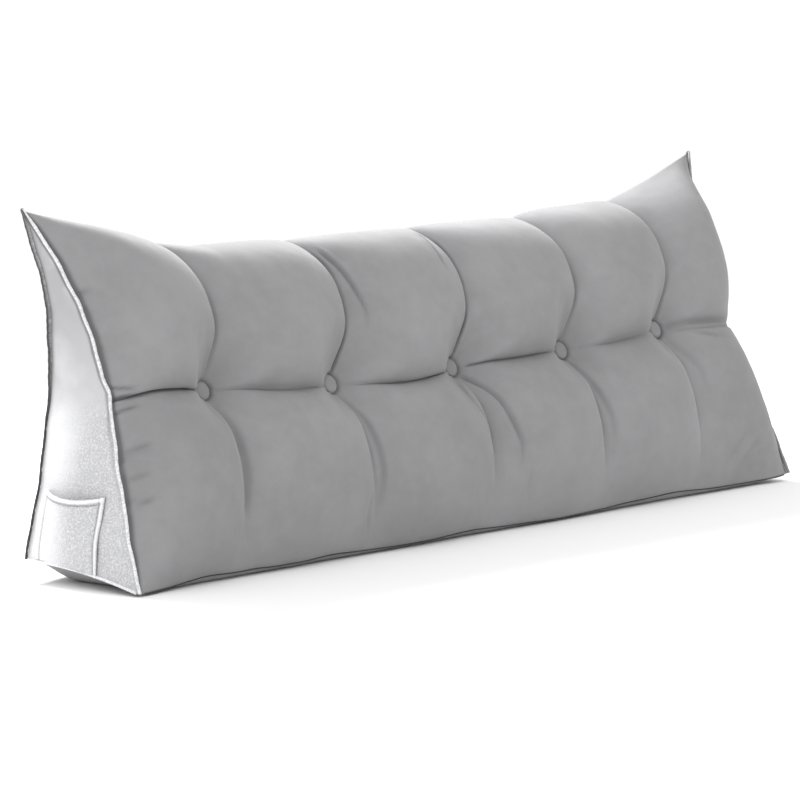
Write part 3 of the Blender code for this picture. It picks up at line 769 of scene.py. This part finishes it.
def makeButton(name, x):
    seat = Vector(frontPoint(x / halfLength, 1.0))
    topY, topZ = topLine(np.array(x / halfLength))
    footY, footZ = frontLine(np.array(x / halfLength))
    outward = Vector((0.0, -float(topZ - footZ), float(topY - footY))).normalized()
    turn = outward.to_track_quat("Z", "Y")
    radius, rim, dome = buttonLook["radius"], buttonLook["rim"], buttonLook["dome"]
    profile = [(0.96, -0.5), (1.0, 0.5 * rim), (1.0, rim), (0.975, rim + 0.25 * (dome - rim)),
               (0.93, rim + 0.46 * (dome - rim)), (0.86, rim + 0.63 * (dome - rim)),
               (0.76, rim + 0.76 * (dome - rim)), (0.62, rim + 0.87 * (dome - rim)),
               (0.46, rim + 0.94 * (dome - rim)), (0.28, rim + 0.98 * (dome - rim)), (0.12, dome)]
    sides = buttonLook["sides"]
    places, faces = [], []
    for share, height in profile:
        for k in range(sides):
            angle = 2.0 * math.pi * k / sides
            pleat = 1.0 - 0.018 * smooth((share - 0.8) / 0.2) * math.cos(buttonLook["pleats"] * angle)
            r = radius * share * pleat * mm
            place = Vector((r * math.cos(angle), r * math.sin(angle), (height + buttonLook["lift"]) * mm))
            places.append(seat + turn @ place)
    for i in range(len(profile) - 1):
        for k in range(sides):
            m = (k + 1) % sides
            faces.append((i * sides + k, i * sides + m, (i + 1) * sides + m, (i + 1) * sides + k))
    faces.append(tuple(range(sides)))
    faces.append(tuple(reversed(range((len(profile) - 1) * sides, len(profile) * sides))))
    return meshFrom(name, places, faces)


class Wire:
    # One socket of a material, so that patterns read as sums and products.
    def __init__(self, finish, socket):
        self.finish = finish
        self.socket = socket

    def math(self, operation, first, second):
        return self.finish.node("ShaderNodeMath", {"operation": operation}, {0: first, 1: second})

    def __add__(self, other):
        return self.math("ADD", self, other)

    def __sub__(self, other):
        return self.math("SUBTRACT", self, other)

    def __rsub__(self, other):
        return self.math("SUBTRACT", other, self)

    def __mul__(self, other):
        return self.math("MULTIPLY", self, other)

    __radd__ = __add__
    __rmul__ = __mul__

    def __pow__(self, power):
        return self.math("POWER", self, power)


class Finish:
    # A material with its nodes.
    def __init__(self, name):
        self.material = bpy.data.materials.new(name)
        self.material.use_nodes = True
        self.tree = self.material.node_tree
        self.shader = self.tree.nodes["Principled BSDF"]

    def node(self, kind, settings, inputs, output=0):
        made = self.tree.nodes.new(kind)
        for key, value in settings.items():
            setattr(made, key, value)
        for key, value in inputs.items():
            self.feed(made.inputs[key], value)
        return Wire(self, made.outputs[output])

    def feed(self, socket, value):
        if isinstance(value, Wire):
            self.tree.links.new(value.socket, socket)
        else:
            socket.default_value = value

    def coordinates(self):
        return self.node("ShaderNodeTexCoord", {}, {}, "Object")

    def noise(self, where, scale, detail=2.0, roughness=0.5):
        return self.node("ShaderNodeTexNoise", {}, {"Vector": where, "Scale": scale, "Detail": detail,
                                                    "Roughness": roughness}, "Fac")

    def cells(self, where, scale):
        return self.node("ShaderNodeTexVoronoi", {}, {"Vector": where, "Scale": scale}, "Distance")

    def between(self, value, low, high):
        return self.node("ShaderNodeMapRange", {"interpolation_type": "SMOOTHSTEP"},
                         {"Value": value, "From Min": low, "From Max": high})

    def mixColour(self, share, first, second):
        return self.node("ShaderNodeMix", {"data_type": "RGBA"}, {0: share, 6: first, 7: second}, 2)

    def attribute(self, name):
        return self.node("ShaderNodeAttribute", {"attribute_name": name}, {}, "Fac")

    def axis(self, where, name):
        return self.node("ShaderNodeSeparateXYZ", {}, {0: where}, name)

    def bump(self, height, distance, strength=1.0):
        return self.node("ShaderNodeBump", {}, {"Height": height, "Distance": distance, "Strength": strength})

    def set(self, **values):
        for key, value in values.items():
            self.feed(self.shader.inputs[key.replace("_", " ")], value)


def grey(level, blue=1.02):
    return (level, level, level * blue, 1.0)


nap = {"dark": 0.215, "light": 0.265, "crease": 0.060, "sheen": 0.18, "rough": 0.92}


def nappedCloth(name="nappedCloth", paintsCreaseShade=True):
    cloth = Finish(name)
    where = cloth.coordinates()
    patches = cloth.noise(where, 6.0, 4.0, 0.55)
    brushed = cloth.noise(where, 42.0, 5.0, 0.6)
    fine = cloth.noise(where, 700.0, 2.0)
    tone = patches * 0.62 + brushed * 0.30 + fine * 0.08
    tone = cloth.between(tone, 0.30, 0.70)
    colour = cloth.mixColour(tone, grey(nap["dark"]), grey(nap["light"]))
    if paintsCreaseShade:
        # Painted shade: the cloth darkens towards near-black in the creases, grooves and round the buttons.
        colour = cloth.mixColour(cloth.attribute("creaseShade") * 0.8, colour, grey(nap["crease"]))
    height = fine * 0.55 + brushed * 0.45
    cloth.set(Base_Color=colour, Roughness=cloth.between(brushed, 0.2, 0.8) * 0.08 + (nap["rough"] - 0.04),
              Normal=cloth.bump(height, 0.0012, 0.35))
    cloth.set(Sheen_Weight=nap["sheen"], Sheen_Roughness=0.45, Specular_IOR_Level=0.25)
    return cloth.material


# Tones of the ends, partly the cloth's own and partly painted light and shade: darker high up (upper), paler and
# nubby low down, paler towards the back (behind). seam is painted shade along the seams, hem a painted highlight on
# the pocket hem.
endClothWithPaintedShading = {"upper": 0.36, "smooth": 0.47, "nubDark": 0.44, "nubLight": 0.66, "behind": 0.74, "seam": 0.06,
            "hem": 0.84, "nubTop": 0.28, "nubBottom": 0.20}


def fleeceWithPaintedShading(name="fleeceWithPaintedShading"):
    cloth = Finish(name)
    where = cloth.coordinates()
    height = cloth.axis(where, "Z")
    wander = cloth.noise(where, 14.0, 2.0)
    nubby = 1.0 - cloth.between(height + (wander - 0.5) * 0.09, endClothWithPaintedShading["nubBottom"], endClothWithPaintedShading["nubTop"])
    nubs = cloth.cells(where, 520.0)
    clumps = cloth.noise(where, 330.0, 3.0, 0.65)
    patches = cloth.noise(where, 16.0, 3.0)
    bright = cloth.between(clumps - nubs * 0.25, 0.25, 0.62)
    rough = cloth.mixColour(bright, grey(endClothWithPaintedShading["nubDark"]), grey(endClothWithPaintedShading["nubLight"]))
    # Painted light: the cloth grows paler towards the back of the end.
    paintedLightTowardsBack = cloth.between(cloth.axis(where, "Y") + (wander - 0.5) * 0.05, 0.015, 0.085)
    rough = cloth.mixColour(paintedLightTowardsBack, rough, grey(endClothWithPaintedShading["behind"]))
    # Partly painted shade: darker high up, with pale patches mixed in.
    plain = cloth.mixColour(cloth.between(height + (patches - 0.5) * 0.10, 0.24, 0.40),
                            grey(endClothWithPaintedShading["smooth"]), grey(endClothWithPaintedShading["upper"]))
    plain = cloth.mixColour(cloth.between(patches, 0.45, 0.75) * 0.35, plain, grey(endClothWithPaintedShading["behind"]))
    colour = cloth.mixColour(nubby, plain, rough)
    # Painted shade along the seams (seamShade).
    colour = cloth.mixColour(cloth.attribute("seamShade") * 0.9, colour, grey(endClothWithPaintedShading["seam"]))
    # Painted highlight on the raised pocket hem.
    colour = cloth.mixColour(cloth.attribute("paintedHemHighlight") * 0.85, colour, grey(endClothWithPaintedShading["hem"]))
    relief = (clumps * 0.7 - nubs * 0.5) * nubby
    cloth.set(Base_Color=colour, Roughness=cloth.between(patches, 0.2, 0.8) * 0.06 + 0.9,
              Normal=cloth.bump(relief, 0.003, 0.6))
    cloth.set(Sheen_Weight=0.2, Sheen_Roughness=0.5, Specular_IOR_Level=0.2)
    return cloth.material


def pipingCloth():
    cloth = Finish("pipingCloth")
    where = cloth.coordinates()
    rib = cloth.noise(where, 420.0, 3.0, 0.6)
    light = cloth.mixColour(cloth.between(rib, 0.3, 0.7), grey(0.50), grey(0.82))
    # Painted shade: the piping's back run is painted near-black; the right end's piping is plain grey.
    dark = cloth.mixColour(cloth.between(rib, 0.3, 0.7), grey(0.035), grey(0.075))
    plain = cloth.mixColour(cloth.between(rib, 0.3, 0.7), grey(0.20), grey(0.27))
    behind = cloth.between(cloth.axis(where, "Y"), 0.100, 0.107)
    rightEnd = cloth.between(cloth.axis(where, "X"), -0.1, 0.1)
    colour = cloth.mixColour(rightEnd, cloth.mixColour(behind, light, dark), plain)
    cloth.set(Base_Color=colour, Roughness=cloth.between(rib, 0.2, 0.8) * 0.1 + 0.85,
              Normal=cloth.bump(rib, 0.0012, 0.5))
    cloth.set(Sheen_Weight=0.15, Specular_IOR_Level=0.2)
    return cloth.material


def plainCloth(name, level):
    cloth = Finish(name)
    where = cloth.coordinates()
    rib = cloth.noise(where, 500.0, 3.0, 0.6)
    cloth.set(Base_Color=cloth.mixColour(cloth.between(rib, 0.3, 0.7), grey(level * 0.82), grey(level * 1.15)),
              Roughness=cloth.between(rib, 0.2, 0.8) * 0.1 + 0.85, Normal=cloth.bump(rib, 0.001, 0.5))
    cloth.set(Specular_IOR_Level=0.2)
    return cloth.material


def paint(piece, material):
    piece.data.materials.clear()
    piece.data.materials.append(material)
    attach(piece, "root")


def stitchTree(material):
    # Lays short stitches along the edges of a mesh line.
    tree = bpy.data.node_groups.new("stitchLine", "GeometryNodeTree")
    face = tree.interface
    face.new_socket("Geometry", in_out="INPUT", socket_type="NodeSocketGeometry")
    pitch = face.new_socket("Pitch", in_out="INPUT", socket_type="NodeSocketFloat")
    length = face.new_socket("Stitch length", in_out="INPUT", socket_type="NodeSocketFloat")
    radius = face.new_socket("Thread radius", in_out="INPUT", socket_type="NodeSocketFloat")
    face.new_socket("Geometry", in_out="OUTPUT", socket_type="NodeSocketGeometry")
    add, link = tree.nodes.new, tree.links.new
    start, end = add("NodeGroupInput"), add("NodeGroupOutput")
    line, spaced = add("GeometryNodeMeshToCurve"), add("GeometryNodeResampleCurve")
    spaced.mode = "LENGTH"
    thread = add("GeometryNodeMeshCylinder")
    thread.inputs["Vertices"].default_value = 6
    place, realise = add("GeometryNodeInstanceOnPoints"), add("GeometryNodeRealizeInstances")
    points, tangent = add("GeometryNodeCurveToPoints"), add("FunctionNodeAlignEulerToVector")
    points.mode = "EVALUATED"
    tangent.axis = "Z"
    coat = add("GeometryNodeSetMaterial")
    coat.inputs["Material"].default_value = material
    link(start.outputs["Geometry"], line.inputs["Mesh"])
    link(line.outputs["Curve"], spaced.inputs["Curve"])
    link(start.outputs["Pitch"], spaced.inputs["Length"])
    link(spaced.outputs["Curve"], points.inputs["Curve"])
    link(start.outputs["Stitch length"], thread.inputs["Depth"])
    link(start.outputs["Thread radius"], thread.inputs["Radius"])
    link(points.outputs["Points"], place.inputs["Points"])
    link(points.outputs["Tangent"], tangent.inputs["Vector"])
    link(thread.outputs["Mesh"], place.inputs["Instance"])
    link(tangent.outputs["Rotation"], place.inputs["Rotation"])
    link(place.outputs["Instances"], realise.inputs["Geometry"])
    link(realise.outputs["Geometry"], coat.inputs["Geometry"])
    link(coat.outputs["Geometry"], end.inputs["Geometry"])
    return tree, {"Pitch": pitch.identifier, "Stitch length": length.identifier, "Thread radius": radius.identifier}


def makeStitches(name, lines, sizes, tree, sockets):
    places, edges = [], []
    for line in lines:
        first = len(places)
        places += [tuple(p) for p in line]
        edges += [(first + i, first + i + 1) for i in range(len(line) - 1)]
    guide = bpy.data.meshes.new(name + "Guide")
    guide.from_pydata(places, edges, [])
    carrier = bpy.data.objects.new(name + "Guide", guide)
    bpy.context.scene.collection.objects.link(carrier)
    sewing = carrier.modifiers.new("sewing", "NODES")
    sewing.node_group = tree
    for key, value in sizes.items():
        sewing[sockets[key]] = value
    bpy.context.view_layer.update()
    graph = bpy.context.evaluated_depsgraph_get()
    mesh = bpy.data.meshes.new_from_object(carrier.evaluated_get(graph))
    bpy.data.objects.remove(carrier)
    piece = bpy.data.objects.new(name, mesh)
    bpy.context.scene.collection.objects.link(piece)
    return piece


def pocketSeams():
    steps = np.linspace(0.03, 0.97, 40)
    lift = np.array([pocketLook["sheet"] + 0.0002, 0.0, 0.0])
    mouth = pocketSurface(steps, np.full(40, 1.0 - 0.075)) - lift
    front = pocketSurface(np.full(40, 0.035), steps) - lift
    back = pocketSurface(np.full(40, 0.965), steps) - lift
    return [mouth, front, back]


def makeStage():
    floorSize = 160.0
    mesh = bpy.data.meshes.new("floor")
    bm = bmesh.new()
    bmesh.ops.create_grid(bm, x_segments=1, y_segments=1, size=floorSize / 2)
    bm.to_mesh(mesh)
    bm.free()
    floor = bpy.data.objects.new("floor", mesh)
    floor.location.z = -0.0003
    bpy.context.scene.collection.objects.link(floor)
    paper = bpy.data.materials.new("palePaper")
    paper.use_nodes = True
    shader = paper.node_tree.nodes["Principled BSDF"]
    shader.inputs["Base Color"].default_value = (0.92, 0.92, 0.92, 1.0)
    shader.inputs["Roughness"].default_value = 0.9
    shader.inputs["Specular IOR Level"].default_value = 0.0
    floor.data.materials.append(paper)


lights = {
    "sky": 0.94,
    "key": {"strength": 1.0, "towards": (-0.62, -0.45, 0.65), "angle": 60.0},
    "back": {"power": 52.0, "size": (1.45, 0.5), "place": (0.05, 0.98, 1.20), "aim": (0.05, 0.08, 0.42)},
}


def makeLights():
    scene = bpy.context.scene
    scene.view_settings.view_transform = "Standard"
    world = bpy.data.worlds.new("studio")
    world.use_nodes = True
    world.node_tree.nodes["Background"].inputs["Color"].default_value = (1.0, 1.0, 1.0, 1.0)
    world.node_tree.nodes["Background"].inputs["Strength"].default_value = lights["sky"]
    scene.world = world
    key, back = lights["key"], lights["back"]
    sun = bpy.data.lights.new("key", "SUN")
    sun.energy = key["strength"]
    sun.angle = math.radians(key["angle"])
    panel = bpy.data.lights.new("back", "AREA")
    panel.shape = "RECTANGLE"
    panel.size, panel.size_y = back["size"]
    panel.energy = back["power"]
    fromBehind = Vector(back["place"]) - Vector(back["aim"])
    for light, place, towards in ((sun, (0, 0, 3), Vector(key["towards"])), (panel, back["place"], fromBehind)):
        lamp = bpy.data.objects.new(light.name, light)
        lamp.location = place
        lamp.rotation_mode = "QUATERNION"
        lamp.rotation_quaternion = towards.to_track_quat("Z", "Y")
        scene.collection.objects.link(lamp)


camera = {"azimuth": -50.60, "elevation": 6.71, "place": (-5.3956, -4.3620, 1.0024), "lens": 218.07}


def makeCamera():
    azimuth, elevation = math.radians(camera["azimuth"]), math.radians(camera["elevation"])
    back = Vector((math.sin(azimuth) * math.cos(elevation), -math.cos(azimuth) * math.cos(elevation),
                   math.sin(elevation)))
    data = bpy.data.cameras.new("camera")
    data.lens = camera["lens"]
    data.sensor_width = 36.0
    data.clip_end = 300.0
    eye = bpy.data.objects.new("camera", data)
    eye.location = camera["place"]
    eye.rotation_mode = "QUATERNION"
    eye.rotation_quaternion = (-back).to_track_quat("-Z", "Y")
    bpy.context.scene.collection.objects.link(eye)
    bpy.context.scene.camera = eye


makeCamera()
makeLights()
makeStage()

suede = nappedCloth()
buttonSuede = nappedCloth("buttonCloth", paintsCreaseShade=False)
fleece = fleeceWithPaintedShading()
pipe = pipingCloth()

cover = makeCover()
paint(cover, suede)
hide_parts("cushion")

for side, label in ((-1.0, "left"), (1.0, "right")):
    end, area = makeEnd("endPanel_" + label, side)
    paint(end, fleece)
    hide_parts("end_panel_" + label)
    piping = makePiping("pipingCord_" + label, side)
    paint(piping, pipe)
    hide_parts("piping_" + label)
    hem = makeHem("endHem_" + label, side)
    paint(hem, plainCloth("hemCloth_" + label, 0.72))
print("ends and piping made")

# Painted shadow line along the front bottom seam.
shadowLine = makePaintedShadowLine("baseShadowLine")
paint(shadowLine, plainCloth("shadowLineCloth", 0.06))

pocket, pocketArea = makePocket("pocket")
paint(pocket, fleeceWithPaintedShading("pocketCloth"))
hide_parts("pocket_left")
print("pocket made, area", round(pocketArea, 5))

thread = plainCloth("threadCloth", 0.5)
tree, sockets = stitchTree(thread)
stitches = makeStitches("pocketStitches", pocketSeams(),
                        {"Pitch": 0.0042, "Stitch length": 0.0030, "Thread radius": 0.00035}, tree, sockets)
paint(stitches, thread)

for number, x in enumerate(tufts["buttonX"], start=1):
    button = makeButton(f"tuftButton_{number}", x)
    paint(button, buttonSuede)
    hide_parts(f"button_{number}")
print("buttons made")
